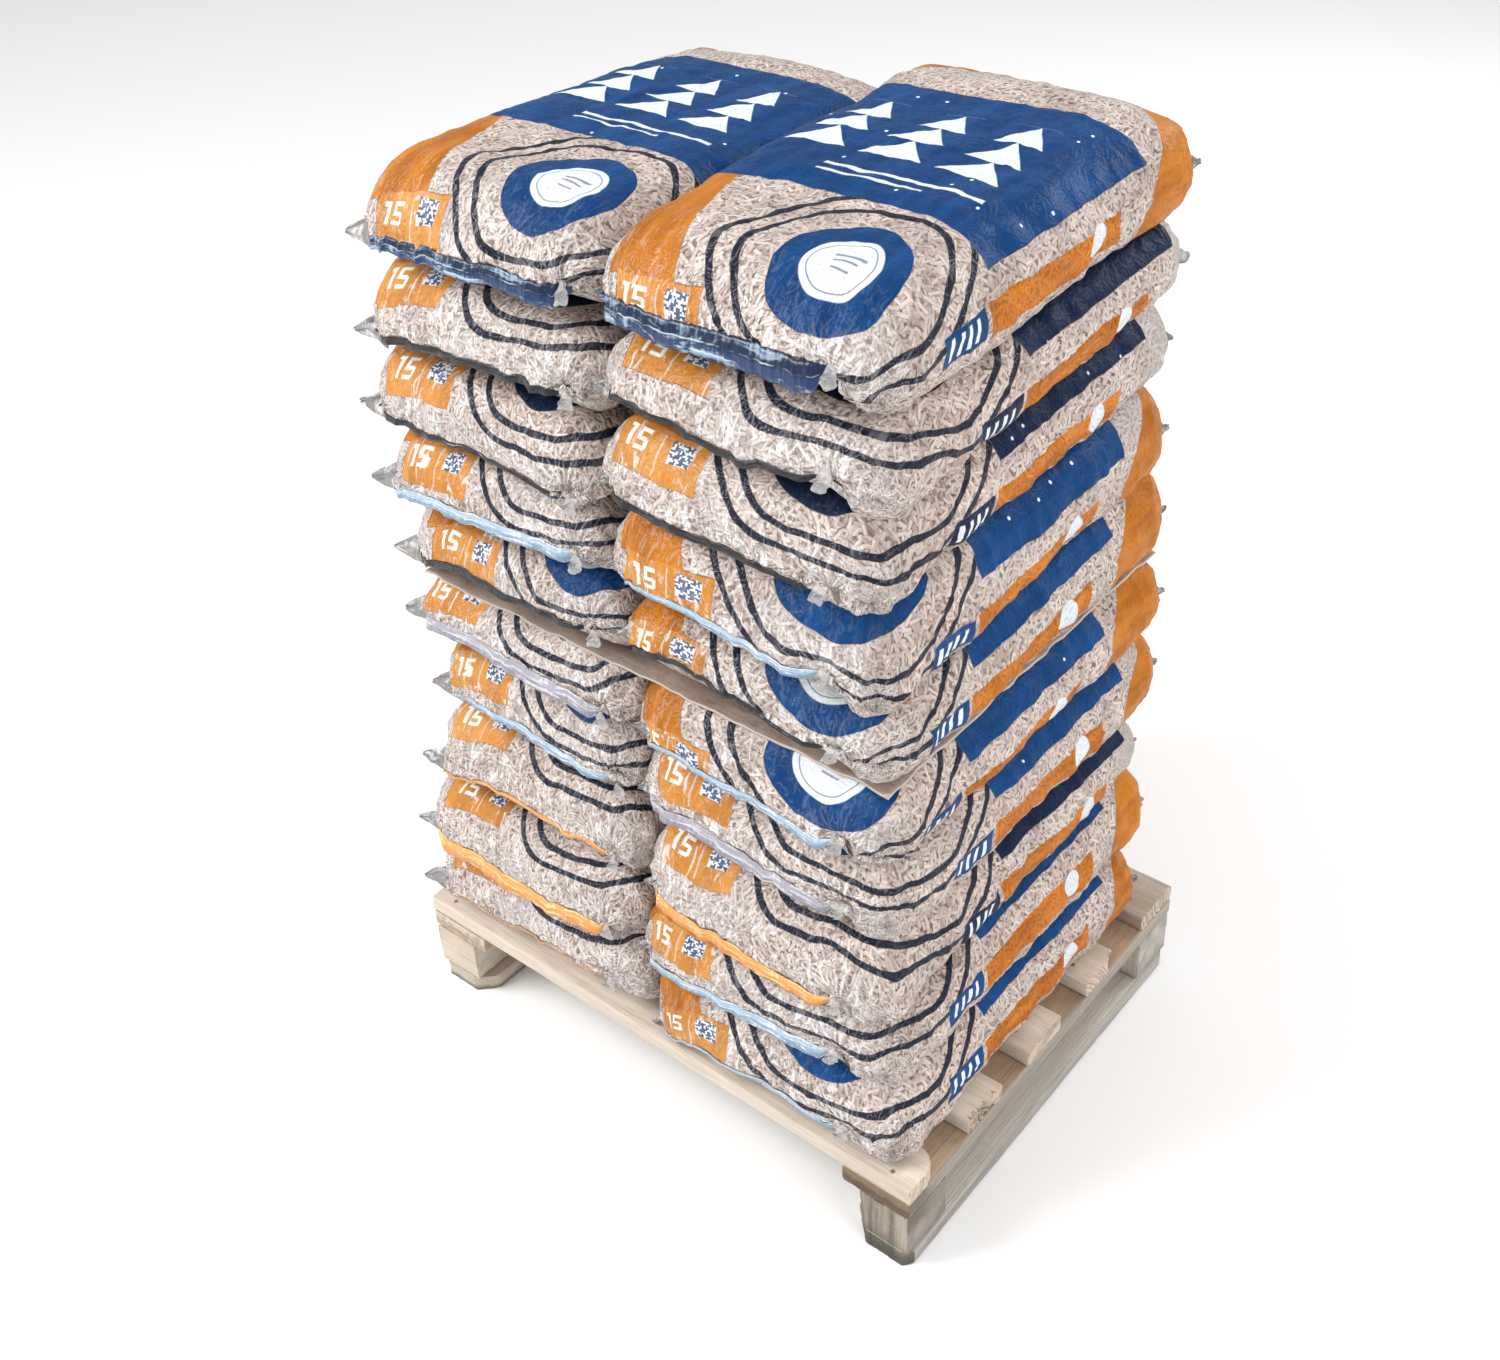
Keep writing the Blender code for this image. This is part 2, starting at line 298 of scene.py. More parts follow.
def sack_surface(sack):
    """The upper and the lower sheet of a sack's film, as grids of points (along, across, 3), with film coordinates in
    metres, across from the middle of the top and along from the near seam, and the angles of the rounded rims."""
    half_x, half_y = (sack.x1 - sack.x0) / 2, (sack.y1 - sack.y0) / 2
    cx, cy = (sack.x0 + sack.x1) / 2, (sack.y0 + sack.y1) / 2
    place_x, angle_x = stations(half_x, SIDE_ROUND, SIDE_ROUND_STEPS, SIDE_ROUND, SIDE_ROUND_STEPS,
                                TOP_STEP_ACROSS if sack.is_top else STEP_ACROSS)
    place_y, angle_y = stations(half_y, TOP_NEAR_ROUND if sack.is_top else END_ROUND, NEAR_ROUND_STEPS, END_ROUND,
                                FAR_ROUND_STEPS, STEP_ALONG_SACK)
    X, Y = np.meshgrid(place_x, place_y)
    A, B = np.meshgrid(angle_x, angle_y)
    share = (Y + cy - STATIONS[0]) / (STATIONS[1] - STATIONS[0])
    low, high = between(sack.bottom, share), between(sack.top, share) - 0.0004
    if sack.is_top:
        dome = np.clip(1 - (X / half_x) ** 2, 0, 1) * np.clip(1 - (Y / half_y) ** 4, 0, 1)
        high = high - DOME + DOME * smooth(dome, 0, 0.7)
    rise = high - low
    edge_wave = 0.04 * noise(X / 0.06, Y / 0.09, sack.seed)
    near_level = np.interp((place_x + half_x) / (2 * half_x), LEVEL_PLACES, sack.levels)
    level = SIDE_LEVEL + (near_level - SIDE_LEVEL) * smooth(-Y, half_y - 0.1, half_y - 0.005) + edge_wave
    middle = low + rise * level
    # Under its near seam the film tucks straight back, but for the full corner beyond the knot
    full = np.maximum(smooth(X, sack.knot - 0.01, sack.knot + 0.05), smooth(Y, -0.1, 0.1))
    along_low = (1 - np.sin(B)) * (1 - full) + np.cos(B) ** LOWER_POWER * full
    up, down = np.cos(A) * np.cos(B), np.cos(A) ** LOWER_POWER * along_low
    # The near outer corner falls away in a wide round
    outward = 1 if sack.side == RIGHT else -1
    near_corner = near_edge(half_x - X * outward, CORNER_DROP_REACH) * near_edge(half_y + Y, CORNER_DROP_REACH)
    up = up * (1 - CORNER_DROP * near_corner ** 1.2)
    near_right = (Y < 0) & (X > 0) & (sack.side == RIGHT)
    Xc, Yc = round_plan(X, Y, half_x, half_y, np.where(near_right, RIGHT_CORNER_ROUND, CORNER_ROUND))
    upper = np.stack([Xc + cx, Yc + cy, middle + up * (high - middle)], -1)
    lower = np.stack([Xc + cx, Yc + cy, middle - down * (middle - low)], -1)
    # Film coordinates: arc lengths from the middle of the top and from the near seam
    h_side = float(np.mean(rise)) * (1 - SIDE_LEVEL)
    u = np.concatenate([[0], np.cumsum(np.hypot(np.diff(place_x), np.diff(np.cos(angle_x) * h_side)))])
    u -= u[-1] / 2
    h_near = float(np.mean(rise)) * (1 - near_level)
    rises = np.diff(np.cos(angle_y))[:, None] * h_near[None, :]
    V = np.concatenate([np.zeros((1, len(u))), np.cumsum(np.hypot(np.diff(place_y)[:, None], rises), axis=0)])
    sack.low, sack.high, sack.u_end, sack.v_end = low, high, float(u[-1]), V[-1:]
    return upper, lower, np.broadcast_to(u, V.shape), V, A, B


def wrinkle(sack, U, V, A, B, lower_sheet):
    """How far each point of a sheet stands off its plain shape, in metres."""
    seed = sack.seed + (500 if lower_sheet else 0)
    out_side, out_end = smooth(A, 0.05, 0.6), smooth(B, 0.05, 0.6)
    open_share = np.ones_like(A) if sack.is_top and not lower_sheet else np.maximum(out_side, out_end)
    lumps = 0.0012 * noise(U / 0.017, V / 0.017, seed + 1) + 0.0008 * noise(U / 0.008, V / 0.008, seed + 2)
    sag = 0.0032 * noise(U / 0.085, V / 0.085, seed + 3)
    bend = 0.3 * noise(U / 0.05, V / 0.05, seed + 9)
    pleats = (0.006 * ridges(U / 0.026 + bend, V / 0.14, seed + 4)
              + 0.0032 * ridges(U / 0.012 + bend, V / 0.07, seed + 5))
    ends = (np.exp(-V / 0.05) + 0.8 * np.exp(-(sack.v_end - V) / 0.04)) * (pleats - 0.0032)
    side = out_side * (0.0024 * noise(U / 0.05, V / 0.03, seed + 6) + 0.0022 * ridges(U / 0.09, V / 0.02, seed + 7))
    out = open_share * (lumps + sag + side) + np.maximum(out_end, 0.15 * open_share) * ends
    # Creases that run out from the knot and from the seam's other end
    for place, strength in ((sack.knot, 1), (-sack.u_end + 0.02, 0.7)):
        away, angle = np.hypot(U - place, V), np.arctan2(V, U - place)
        rays = ridges(angle * 2.6 + 20, away / 0.3, seed + 11) + 0.6 * ridges(angle * 5.2 + 20, away / 0.2, seed + 12)
        creases = 0.0058 * np.exp(-away / 0.045) * (rays - 0.45)
        out += strength * out_end * (creases - 0.009 * np.exp(-(away / 0.02) ** 2))
    return out


def build_sack(sack, material):
    """Makes the sack's film and gives its upper sheet."""
    upper, lower, U, V, A, B = sack_surface(sack)
    count = U.size

    def wrinkled(grid, sign):
        n = np.cross(np.gradient(grid, axis=1), np.gradient(grid, axis=0)) * sign
        n = n / (np.linalg.norm(n, axis=2, keepdims=True) + 1e-12)
        return grid + n * wrinkle(sack, U, V, A, B, sign < 0)[..., None]

    up, down = wrinkled(upper, 1), wrinkled(lower, -1)
    # Both sheets share their edge
    edge = np.ones(U.shape, bool)
    edge[1:-1, 1:-1] = False
    shared = (up + down) / 2
    up[edge], down[edge] = shared[edge], shared[edge]
    # Stay inside the sack's own room. The two columns press a wavy wall into each other
    for grid in (up, down):
        wall = 0.0024 * noise(grid[..., 1] / 0.055, grid[..., 2] / 0.04, WALL_SEED)
        bulge = 0.004 * smooth(A, 0.55, 1.25)
        if sack.side == LEFT:
            grid[..., 0] = np.minimum(grid[..., 0] + bulge * (U > 0), sack.x1 + wall)
        else:
            grid[..., 0] = np.maximum(grid[..., 0] - bulge * (U < 0), sack.x0 + wall)
        grid[..., 2] = np.maximum(grid[..., 2], sack.low)
        if not sack.is_top:
            grid[..., 2] = np.minimum(grid[..., 2], sack.high)
    index = np.arange(count).reshape(U.shape)
    points = np.concatenate([up.reshape(-1, 3), down.reshape(-1, 3)])
    faces_up = quads(index).reshape(-1, 4)
    faces_down = quads(np.where(edge, index, index + count))[..., TURNED].reshape(-1, 4)
    used, faces = np.unique(np.concatenate([faces_up, faces_down]), return_inverse=True)
    along_print = np.clip((U - PRINT_LEFT) / (PRINT_RIGHT - PRINT_LEFT), 0, 1)[..., None]
    shift = np.array(sack.shifts[0]) * (1 - along_print) + np.array(sack.shifts[1]) * along_print
    # The lower sheet carries the print that wraps round from the sides, in a copy of the plane for each of them
    planes = [U] + [sign * (2 * sack.u_end - np.abs(U)) for sign in (-1, 1)]
    film = np.concatenate([(np.stack([across, V], -1) - shift).reshape(-1, 2) for across in planes])
    place = np.concatenate([np.stack([U - sack.knot, V], -1).reshape(-1, 2)] * 3)
    fill = film + np.random.default_rng(sack.seed + 77).uniform(-3, 3, 2) + 5
    middle_column = (U[0, :-1] <= 0) & (U[0, 1:] > 0)
    corners = quads(index + count * np.where(U > 0, 2, 1))[..., TURNED]
    corners[:, middle_column, 2:] -= count
    obj = make_mesh(f"{sack.name}_film", points[used], faces.reshape(-1, 4),
                    {"film": film, "fill": fill, "place": place}, material,
                    np.concatenate([faces_up, corners.reshape(-1, 4)]))
    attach(obj, BODY)
    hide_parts(sack.name)
    return up


# --- materials
def makes(operation, turned=False):
    """An operator of Wire that makes a math node."""
    def operator(self, *other):
        return self.shade.math(operation, *((*other, self) if turned else (self, *other)))
    return operator


class Wire:
    """A node's output. Arithmetic with it makes math nodes."""

    def __init__(self, shade, socket):
        self.shade, self.socket = shade, socket

    __add__, __sub__, __mul__, __gt__ = map(makes, ("ADD", "SUBTRACT", "MULTIPLY", "GREATER_THAN"))
    __rsub__, __abs__ = makes("SUBTRACT", turned=True), makes("ABSOLUTE")


class Shade:
    """Builds one material's nodes from short calls."""

    def __init__(self, name):
        self.material = bpy.data.materials.new(name)
        self.material.use_nodes = True
        self.tree = self.material.node_tree
        self.tree.nodes.clear()
        out = self.tree.nodes.new("ShaderNodeOutputMaterial")
        self.shader = self.tree.nodes.new("ShaderNodeBsdfPrincipled")
        self.tree.links.new(self.shader.outputs[0], out.inputs["Surface"])

    def put(self, socket, value):
        if isinstance(value, Wire):
            self.tree.links.new(value.socket, socket)
        elif isinstance(value, tuple) and socket.type == "RGBA":
            socket.default_value = (*value, 1)
        else:
            socket.default_value = value

    def set(self, **values):
        for key, value in values.items():
            self.put(self.shader.inputs[key.replace("_", " ")], value)

    def node(self, kind, inputs, **settings):
        """Makes a node with these settings and inputs, and gives its outputs."""
        made = self.tree.nodes.new("ShaderNode" + kind)
        for key, value in settings.items():
            setattr(made, key, value)
        for key, value in inputs.items():
            self.put(made.inputs[key], value)
        return [Wire(self, socket) for socket in made.outputs]

    def math(self, operation, *values):
        return self.node("Math", dict(enumerate(values)), operation=operation)[0]

    def max(self, first, *others):
        for other in others:
            first = self.math("MAXIMUM", first, other)
        return first

    def length(self, x, y):
        return self.math("SQRT", x * x + y * y)

    def ramp(self, value, low, high, to_low=0, to_high=1, kind="SMOOTHSTEP"):
        values = enumerate((value, low, high, to_low, to_high))
        return self.node("MapRange", dict(values), interpolation_type=kind)[0]

    def fade(self, value, low, high, strength=1):
        """The strength up to low, falling to 0 at high."""
        return self.ramp(value, low, high, strength, 0)

    def mix(self, share, a, b, blend="MIX"):
        return self.node("Mix", {0: share, 6: a, 7: b}, data_type="RGBA", blend_type=blend)[2]

    def coats(self, colour, *coats):
        """Covers a colour by others, each given with its share."""
        for share, coat in coats:
            colour = self.mix(share, colour, coat)
        return colour

    def matt(self, colour, rough, specular, *relief):
        self.set(Base_Color=colour, Roughness=rough, Specular_IOR_Level=specular, Normal=self.bump(*relief))
        return self.material

    def uv(self, name):
        return self.node("UVMap", {}, uv_map=name)[0]

    def object_place(self):
        return self.node("TexCoord", {})[3]

    def split(self, vector):
        return self.node("SeparateXYZ", {0: vector})

    def join(self, x, y):
        return self.node("CombineXYZ", {0: x, 1: y})[0]

    def stretch(self, vector, scale, shift=(0, 0, 0), turn=0):
        inputs = {"Vector": vector, "Location": shift, "Rotation": (0, 0, turn), "Scale": (*scale, 1)[:3]}
        return self.node("Mapping", inputs)[0]

    def noise(self, vector, scale=1, detail=2, rough=0.5, flat=True, bend=0):
        """scale: a number, or one number for each axis."""
        if isinstance(scale, tuple):
            vector, scale = self.stretch(vector, scale), 1
        inputs = {"Vector": vector, "Scale": scale, "Detail": detail, "Roughness": rough, "Distortion": bend}
        return self.node("TexNoise", inputs, noise_dimensions="2D" if flat else "3D")[0]

    def cells(self, vector, scale=1, flat=True):
        """Voronoi cells: distance from the cell's point, a random colour for each cell, and the point."""
        inputs = {"Vector": vector, "Scale": scale}
        return self.node("TexVoronoi", inputs, voronoi_dimensions="2D" if flat else "3D")[:3]

    def bump(self, height, distance, strength=1, **normal):
        return self.node("Bump", {"Height": height, "Distance": distance, "Strength": strength, **normal})[0]

    def box(self, u, v, u0, u1, v0, v1):
        """1 inside a rectangle of the plane and 0 outside it."""
        across = abs(u - (u0 + u1) / 2) - (u1 - u0) / 2
        along = abs(v - (v0 + v1) / 2) - (v1 - v0) / 2
        return self.fade(self.max(across, along), -PRINT_BLUR, PRINT_BLUR)

    def disc(self, u, v, middle, radius, blur=PRINT_BLUR):
        return self.fade(self.length(u - middle[0], v - middle[1]), radius - blur, radius + blur)

    def hexagon(self, u, v, middle, turn):
        """Distance from a hexagon's middle, measured so that a value is one hexagon outline with soft corners."""
        plane = self.stretch(self.join(u - middle[0], v - middle[1]), (1, 1), turn=turn)
        x, y, _ = self.split(plane)
        x, y = abs(x), self.math("SQRT", self.math("MULTIPLY_ADD", y, y, 0.0004))
        return self.math("SMOOTH_MAX", x * 0.866 + y * 0.5, y, 0.045)


def pellets(s, fill):
    """Wood pellets behind the film, in layers of cells with one pellet each: height 0 to 1, and colour, with painted
    shade in the gaps between pellets and at their rims.
    """
    height = s.noise(fill, 150, 1) * 0.12
    # Painted shade: the dark brown under the pellets stands for the shade in the gaps between them
    colour = s.mix(s.ramp(s.noise(fill, 90, 1), 0.35, 0.65), (0.15, 0.106, 0.088), (0.28, 0.212, 0.182))
    for layer in range(PELLET_LAYERS):
        cell = 0.0082 + 0.0007 * layer
        plane = s.stretch(fill, (1 / cell, 1 / cell), (layer * 7.31, layer * 3.77, 0), 0.7 * layer)
        _, chance, point = s.cells(plane)
        turn, length, tint = s.split(chance)
        off = s.node("VectorMath", {0: plane, 1: point}, operation="SUBTRACT")[0]
        turned = s.node("VectorRotate", {"Vector": off, "Angle": turn * pi}, rotation_type="Z_AXIS")[0]
        x, y, _ = s.split(turned)
        past_end = s.max(abs(x) - s.ramp(length, 0, 1, 0.35, 0.9, "LINEAR"), 0)
        square = s.math("MULTIPLY_ADD", past_end, past_end, y * y)
        inside = 1 - square * (cell / PELLET_RADIUS) ** 2
        tone = s.mix(tint, (0.4, 0.308, 0.265), (0.735, 0.625, 0.568))
        # Painted shade: each pellet darkens towards its rim
        tone = s.mix(s.ramp(inside, -0.05, 0.65), s.mix(0.6, tone, (0.11, 0.074, 0.062)), tone)
        lift = s.math("MULTIPLY_ADD", tint, 0.2 + 0.04 * layer, 0.14 + 0.08 * layer)
        top = s.math("MULTIPLY_ADD", s.math("SQRT", s.max(inside, 0)), 0.38, lift) * (inside > 0)
        height, colour = s.max(height, top), s.mix(top > height, colour, tone)
    patch = s.mix(s.ramp(s.noise(fill, 16), 0.3, 0.7), (0.8, 0.78, 0.775), (1, 1, 1))
    return height, s.mix(1, colour, patch, "MULTIPLY")


def film_material(name, blue, far_ink):
    """Printed film over pellets. far_ink: how much of the far end is printed orange."""
    s = Shade(name)
    film, fill = s.uv("film"), s.uv("fill")
    u, v, _ = s.split(film)
    wave = (s.noise(fill, 24, 1) - 0.5) * 0.007
    uw, vw = u + wave, v - wave

    def inside(key):
        return s.max(*(s.box(uw, vw, *rectangle) for rectangle in PRINT[key]))

    height, wood = pellets(s, fill)
    # Printed shapes
    panel, block, side_strip = inside("panel"), inside("block"), inside("side strip")
    strip_edge = s.ramp(vw, 0.043, 0.215, -0.064, -0.118, "LINEAR")
    left_strip = inside("left strip") * s.ramp(strip_edge - uw, -0.001, 0.001)
    far_edge = s.ramp(abs(u), 0.1, 0.24, 0.566, 0.48)
    far_band = s.ramp(vw - far_edge, -0.001, 0.001, 0, far_ink)
    around = s.hexagon(uw, vw, RINGS_MIDDLE, -0.09)
    lines = s.max(*(s.fade(abs(around - ring), 0.003, 0.004) for ring in RINGS))
    badge_v = s.math("MULTIPLY_ADD", vw - BADGE_MIDDLE[1], 0.88, BADGE_MIDDLE[1])
    badge = s.fade(s.hexagon(uw, badge_v, BADGE_MIDDLE, 0.35), 0.065, 0.066)
    badge_disc = s.disc(uw, badge_v, BADGE_DISC, 0.0365)
    disc_ring = s.fade(abs(s.length(uw - BADGE_DISC[0], badge_v - BADGE_DISC[1]) - 0.03), 0.0003, 0.001)
    # White marks: a row of plain fir trees, plain bars and 15, and a mosaic of random squares
    tree_u = s.math("FRACT", s.math("DIVIDE", uw + 0.14, 0.085)) - 0.5
    tree_v = s.math("DIVIDE", vw - 0.305, 0.135)
    tree_edge = (1 - s.math("FRACT", tree_v * 3)) * s.ramp(tree_v, 0, 1, 0.42, 0.27, "LINEAR")
    trees = s.ramp(tree_edge - abs(tree_u), -0.01, 0.01) * inside("trees")
    squares = s.join(s.math("FLOOR", uw * MOSAIC_PITCH), s.math("FLOOR", vw * MOSAIC_PITCH))
    chance = s.node("TexWhiteNoise", {"Vector": squares}, noise_dimensions="2D")[0]
    mosaic_colour = s.mix(chance > 0.45, (0.06, 0.1, 0.19), (0.72, 0.72, 0.74))
    label_bars = (s.math("FRACT", v * 72) > 0.6) * s.box(u, v, *LABEL_BARS)
    side_disc = s.disc(uw, vw, (0.214, 0.388), 0.017)
    white = s.max(trees, inside("bars"), badge_disc, label_bars, side_disc, inside("stitch") * 0.6)
    # Ink over pellets
    ink_blue = s.max(panel, badge, inside("side label"))
    ink_orange = s.max(block, left_strip, far_band, side_strip)
    # Painted sheen: streaks of a lighter tone over the orange and the blue ink
    shine = s.noise(fill, (44, 10))
    orange = s.mix(s.ramp(shine, 0.25, 0.75), ORANGE, ORANGE_LIGHT)
    glow = s.mix(1, s.mix(0.55, (0.62, 0.62, 0.62), wood), (2.1, 2.1, 2.1), "MULTIPLY")
    orange = s.mix(side_strip * 0.75, orange, s.mix(1, orange, glow, "MULTIPLY"))
    # The film is hazier and more crumpled towards its ends
    place_u, place_v, _ = s.split(s.uv("place"))
    haze = s.ramp(s.noise(fill, 9), 0.35, 0.75)
    near_haze = s.math("MULTIPLY_ADD", s.fade(place_v, 0, 0.12), 0.46, 0.1)
    far_haze = s.ramp(s.math("MULTIPLY_ADD", haze, 0.05, place_v), 0.54, 0.63, 0, 0.8)
    clear = s.coats(wood, (haze * near_haze, (0.57, 0.535, 0.52)), (far_haze, (0.44, 0.41, 0.385)))
    blue_light = tuple(c * 1.45 + 0.003 for c in blue)
    colour = s.coats(
        clear, (ink_orange, orange),
        (block * s.ramp(haze, 0, 1, 0.22, 0.5, "LINEAR"), (0.72, 0.38, 0.11)),
        (ink_blue, s.mix(s.ramp(shine, 0.3, 0.8), blue, blue_light)), (lines * (1 - ink_blue), NAVY),
        (white, (0.7, 0.75, 0.77)), (s.max(disc_ring, inside("disc bars")) * 0.75, (0.06, 0.09, 0.16)),
        (inside("15"), (0.86, 0.85, 0.8)), (inside("mosaic"), mosaic_colour))
    # Crumpled film catches the light: painted highlights in strokes that run out from the seam and from its knot, and
    # painted shade in the dark creases between
    crinkle = s.noise(fill, (95, 34), 3, 0.6, bend=0.7)
    fine = s.noise(fill, (210, 80), 2, 0.6, bend=1)
    away = s.length(place_u, place_v)
    rays = s.noise(s.join(s.math("ARCTAN2", place_v, place_u) * 7, away * 22), 1, 3, 0.6)
    strokes = s.max(s.ramp(s.max(crinkle, fine), 0.56, 0.7) * s.fade(place_v, 0, 0.16, 0.85),
                    s.ramp(rays, 0.54, 0.66) * s.fade(away, 0.015, 0.1, 0.9))
    fold_shade = s.max(s.ramp(s.max(1 - crinkle, 1 - fine), 0.6, 0.72) * s.fade(place_v, 0, 0.14, 0.5),
                  s.ramp(rays, 0.46, 0.36) * s.fade(away, 0.015, 0.09, 0.55))
    kept_clear = s.max(s.max(left_strip, lines, block) * 0.72, badge * 0.9)
    strokes = s.max(strokes * (1 - kept_clear), s.ramp(crinkle, 0.6, 0.72) * (block * 0.65))
    # Pinpricks of light on the panel
    distance, chance, _ = s.cells(fill, 24)
    pin = s.fade(distance, 0.035, 0.055) * (s.split(chance)[0] > 0.72)
    # Painted shade in the creases and painted highlights in the strokes
    colour = s.coats(colour, (fold_shade * (1 - kept_clear), (0.15, 0.112, 0.1)), (strokes, (0.84, 0.82, 0.82)),
                     (pin * panel, (0.75, 0.85, 0.95)))
    printed = s.max(ink_blue, block, left_strip, far_band)
    inner = s.bump(height * s.ramp(printed, 0, 1, 1, 0.35, "LINEAR"), 0.0042)
    outer = s.bump(crinkle + s.noise(fill, 75) * 0.8, 0.0026, 0.8, Normal=inner)
    s.set(Base_Color=colour, Roughness=0.5, Specular_IOR_Level=0.1, Normal=inner,
          Coat_Weight=s.ramp(ink_blue + ink_orange * 0.65, 0, 1, 0.33, 0.06, "LINEAR"),
          Coat_Roughness=0.09, Coat_Normal=outer)
    return s.material


def flap_material(name, colour, glint, low=None, line=None, alpha=1, share=0.5, patch=(7, 3.2)):
    """Film of a folded seam: painted highlight streaks along it, another tone in its lower part, and thin lines along
    it.
    """
    s = Shade("flap_" + name)
    film = s.uv("film")
    crinkle = s.noise(film, patch, 3, 0.6, bend=1)
    pleats = s.noise(film, (60, 1.2))
    waved = s.split(film)[1] + (s.noise(film, (4, 0.5)) - 0.5) * 0.22
    tone = s.mix(s.ramp(waved, 0.5, 0.6), colour, low or colour)
    streaks = s.ramp(crinkle + pleats * 0.3, 0.68 - 0.1 * share, 0.82) * (share * 1.6)
    tone = s.mix(streaks, tone, glint)
    if line:
        thin = s.max(s.fade(abs(waved - 0.47), 0.01, 0.04) * s.ramp(crinkle, 0.35, 0.5),
                     s.fade(abs(waved - 0.8), 0.01, 0.04) * s.ramp(crinkle, 0.45, 0.6))
        tone = s.mix(thin * 0.7, tone, line)
    s.set(Base_Color=tone, Roughness=0.35, Specular_IOR_Level=0.25, Coat_Weight=0.3, Coat_Roughness=0.15,
          Normal=s.bump(crinkle + pleats, 0.0025, 0.7), Alpha=alpha)
    return s.material


def wood_material(name, along, light, dark, contrast=0.5, side=None, foot=None, reach=0.05, nails=None, seed=0):
    """Sawn timber with its grain along an axis. side: colour of the outer face; foot: colour near the floor, up to
    reach; nails: y of a row of nail heads over each stringer."""
    s = Shade(name)
    where = s.object_place()
    x, y, z = s.split(where)

    def grained(scale, power=1, shift=(0, 0, 0)):
        """The place, drawn out along the grain."""
        drawn = [GRAIN_STRETCH if axis == along else 1 for axis in range(3)]
        return s.stretch(where, tuple(scale * c ** power for c in drawn), shift)

    grain = s.noise(grained(70, shift=(seed, seed, seed)), 1, 4, 0.6, flat=False, bend=0.5)
    fibre = s.noise(grained(420), flat=False)
    broad = s.noise(grained(9, 0.4, (seed, 0, 0)), 1, 3, flat=False)
    blotch = s.noise(where, 26, 3, 0.6, flat=False)
    distance, chance, _ = s.cells(grained(13, 0.25, (seed, seed, 0)), flat=False)
    knot = s.fade(distance, 0.05, 0.13) * (s.split(chance)[1] > 0.7)
    tone = s.coats(
        light, (s.ramp(grain, 0.36, 0.68, 0, contrast + 0.25), dark),
        (s.ramp(fibre, 0.45, 0.75, 0, 0.35), times(dark, 0.62)),
        (s.ramp(broad, 0.4, 0.72, 0, 0.55), times(dark, 0.75)),
        (s.ramp(blotch, 0.58, 0.75, 0, 0.3), times(light, 1.2)), (knot * 0.75, times(light, 0.28)))
    if side:
        outer = s.ramp(abs(x), 0.3955, 0.3975)
        marks = s.ramp(blotch if along == 2 else grain, 0.35, 0.65)
        # Darker towards the near end and high up on the outer face
        dark_patch = s.fade(y + blotch * 0.12, -0.23, -0.17, 0.75) * s.ramp(z + blotch * 0.05, 0.06, 0.105)
        tone = s.coats(tone, (outer, s.mix(marks, side, times(side, 0.66))), (outer * dark_patch, (0.13, 0.105, 0.08)))
    if foot:
        wet = z + (blotch - 0.5) * (0.7 * reach)
        tone = s.mix(s.fade(wet, 0.1 * reach, reach, 0.95), tone, s.mix(grain, foot, times(foot, 0.5)))
    if nails is not None:
        heads = s.max(*(s.disc(abs(x), y, (place, nails + off), 0.003, 0.001) for place, off in NAIL_PLACES))
        tone = s.mix(heads * 0.8, tone, (0.075, 0.055, 0.045))
    return s.matt(tone, 0.82, 0.25, grain + fibre * 0.6, 0.0016, 0.9)


def end_grain_material(name, light, dark):
    """Sawn end of a board: growth rings round a heart that lies outside it, and saw marks."""
    s = Shade(name)
    where = s.object_place()
    _, y, z = s.split(where)
    away = s.length(y - RINGS_HEART[0], z - RINGS_HEART[1])
    rough = s.noise(where, 90, 3, 0.6, flat=False)
    rings = s.noise(s.join(away * 330, rough * 0.6))
    tone = s.coats(light, (s.ramp(rings, 0.4, 0.62), dark), (s.ramp(rough, 0.5, 0.75, 0, 0.6), times(dark, 0.6)))
    return s.matt(tone, 0.9, 0.2, rings + rough, 0.0018, 0.9)


def cardboard_material():
    """Brown-grey board, its cut edge lighter. The plane is metres from the sheet's edge and along it."""
    s = Shade("cardboard")
    where = s.object_place()
    inward = s.split(s.uv("film"))[0]
    grain = s.noise(where, (10, 150, 60), 3, flat=False)
    broad = s.noise(where, 16, 4, flat=False)
    crease = s.noise(where, (30, 45, 8), 4, 0.65, flat=False, bend=1.2)
    tone = s.coats(
        (0.215, 0.16, 0.13), (s.ramp(broad, 0.3, 0.7), (0.32, 0.25, 0.205)),
        (s.ramp(grain, 0.5, 0.7, 0, 0.35), (0.42, 0.34, 0.28)),
        (s.fade(abs(crease - 0.5), 0, 0.018, 0.55), (0.1, 0.07, 0.055)),
        (s.fade(inward, 0.0006, 0.0022, 0.8), (0.62, 0.54, 0.47)))
    return s.matt(tone, 0.8, 0.25, grain, 0.001, 0.5)


FILMS = {"a": film_material("film_bright", BRIGHT_BLUE, 1), "b": film_material("film_navy", DARK_BLUE, 0)}
